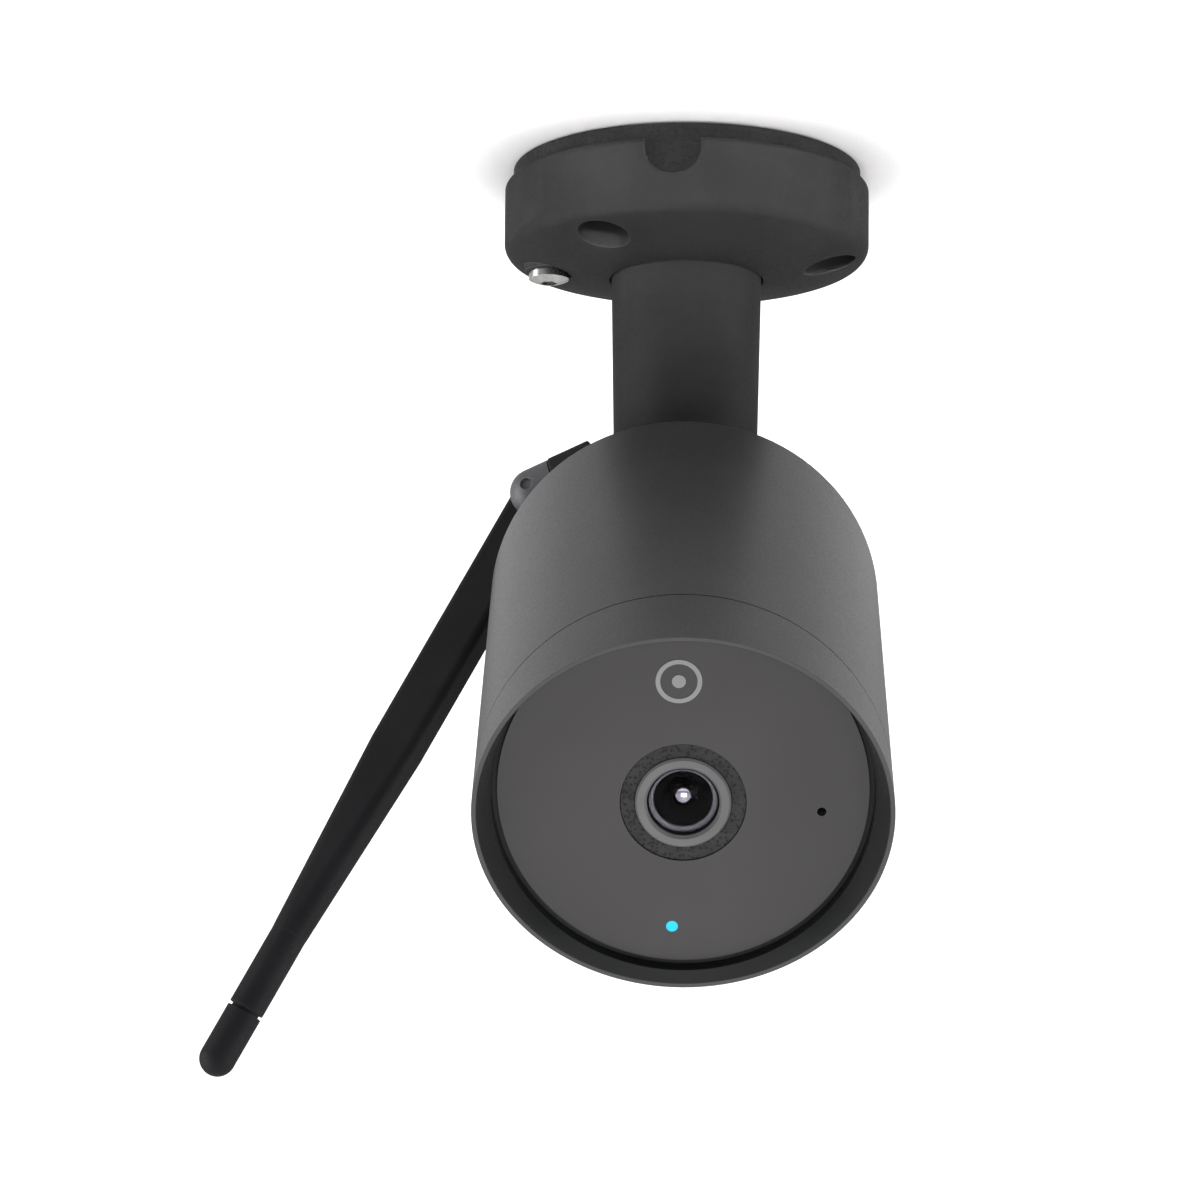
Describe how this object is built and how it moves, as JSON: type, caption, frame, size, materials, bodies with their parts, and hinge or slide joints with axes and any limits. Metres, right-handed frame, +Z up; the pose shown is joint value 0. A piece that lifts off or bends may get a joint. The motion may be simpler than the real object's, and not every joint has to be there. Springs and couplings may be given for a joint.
{
  "type": "security camera",
  "caption": "Ceiling bullet camera: round domed base, panning stem, tilting cylindrical body with a slanted hood and round dark window, and a folding paddle antenna.",
  "frame": {"origin": "centre of the mounting hole circle, on the gasket face that lies on the ceiling", "axes": "+Z up into the ceiling along the pan axis, +X to the viewer's right, the lens looks toward -Y and down"},
  "size_m": [0.1321, 0.1681, 0.1853],
  "materials": {
    "dark_paint": "fine matte black paint over die casting",
    "satin_casing": "satin charcoal paint",
    "foam": "open dark foam",
    "black_rubber": "matte rubber",
    "nylon": "natural nylon",
    "zinc": "bright plated sheet",
    "steel": "plated socket screw",
    "black_plastic": "moulded black plastic",
    "dark_window": "smoked acrylic",
    "grey_print": "grey print",
    "board_black": "black solder mask",
    "board_green": "green solder mask",
    "lamp_lens": "clear lamp body",
    "cyan_light": "lit light pipe",
    "sensor_glass": "sensor package",
    "lens_metal": "anodised lens barrel",
    "lens_glass": "coated glass",
    "aluminium_sheet": "plain sheet",
    "brass": "turned brass",
    "grey_button": "moulded button",
    "antenna_base": "moulded dark grey plastic",
    "antenna_skin": "textured black plastic"
  },
  "bodies": {
    "base": {"ceiling_gasket": "foam", "base_housing": "dark_paint", "notch_plug": "foam", "friction_washer": "nylon", "swivel_retainer": "zinc", "retainer_screws": "steel", "pan_lock_screw": "steel"},
    "stem": {"stem": "dark_paint", "stem_grommet": "black_rubber"},
    "camera": {"tilt_washers": "nylon", "tilt_bolt": "steel", "tilt_nut": "steel", "rear_cap": "dark_paint", "rear_seal": "black_rubber", "rear_cap_screws": "steel", "cable_gland": "black_rubber", "main_barrel": "satin_casing", "card_bay_frame": "black_plastic", "card_cover": "satin_casing", "card_cover_seal": "black_rubber", "card_cover_screws": "steel", "hood_ring": "satin_casing", "window_seal": "black_rubber", "front_window": "dark_window", "front_mark": "grey_print", "front_carrier": "black_plastic", "infrared_board": "board_black", "infrared_lamps": "lamp_lens", "status_light": "cyan_light", "microphone": "zinc", "light_sensor": "lamp_lens", "sensor_board": "board_green", "image_sensor": "sensor_glass", "lens_holder": "black_plastic", "lens_barrel": "lens_metal", "lens_front_element": "lens_glass", "lens_rear_element": "lens_glass", "lens_foam_ring": "foam", "chassis_tray": "aluminium_sheet", "main_board": "board_green", "board_screws": "steel", "main_processor": "black_plastic", "heat_spreader": "aluminium_sheet", "wifi_module": "zinc", "card_board": "board_green", "card_board_posts": "brass", "card_socket": "zinc", "reset_switch": "black_plastic", "antenna_connector": "brass"},
    "antenna_knuckle": {"antenna_knuckle": "antenna_base", "antenna_hinge_pin": "antenna_base"},
    "antenna_blade": {"antenna_blade": "antenna_skin", "antenna_tip_cap": "antenna_skin"},
    "reset_button": {"reset_button": "grey_button"}
  },
  "joints": [
    {"name": "stem_pan", "type": "hinge", "parent": "base", "child": "stem", "pos_m": [0, 0, 0], "axis": [0, 0, 1], "range_deg": [-175, 175]},
    {"name": "camera_tilt", "type": "hinge", "parent": "stem", "child": "camera", "pos_m": [0, 0, -0.0824], "axis": [1, 0, 0], "range_deg": [-33.5, 56.5]},
    {"name": "antenna_swivel", "type": "hinge", "parent": "camera", "child": "antenna_knuckle", "pos_m": [-0.03, -0.00861, -0.06867], "axis": [-0.8973, 0.2437, -0.3682], "range_deg": [-170, 0]},
    {"name": "antenna_fold", "type": "hinge", "parent": "antenna_knuckle", "child": "antenna_blade", "pos_m": [-0.03, -0.00861, -0.06867], "axis": [-0.3255, -0.9285, 0.1788], "range_deg": [-41, 3]},
    {"name": "reset_press", "type": "slide", "parent": "camera", "child": "reset_button", "axis": [0, -0.5519, 0.8339], "range_m": [0, 0.0004], "stiffness_N_per_m": 800}
  ]
}
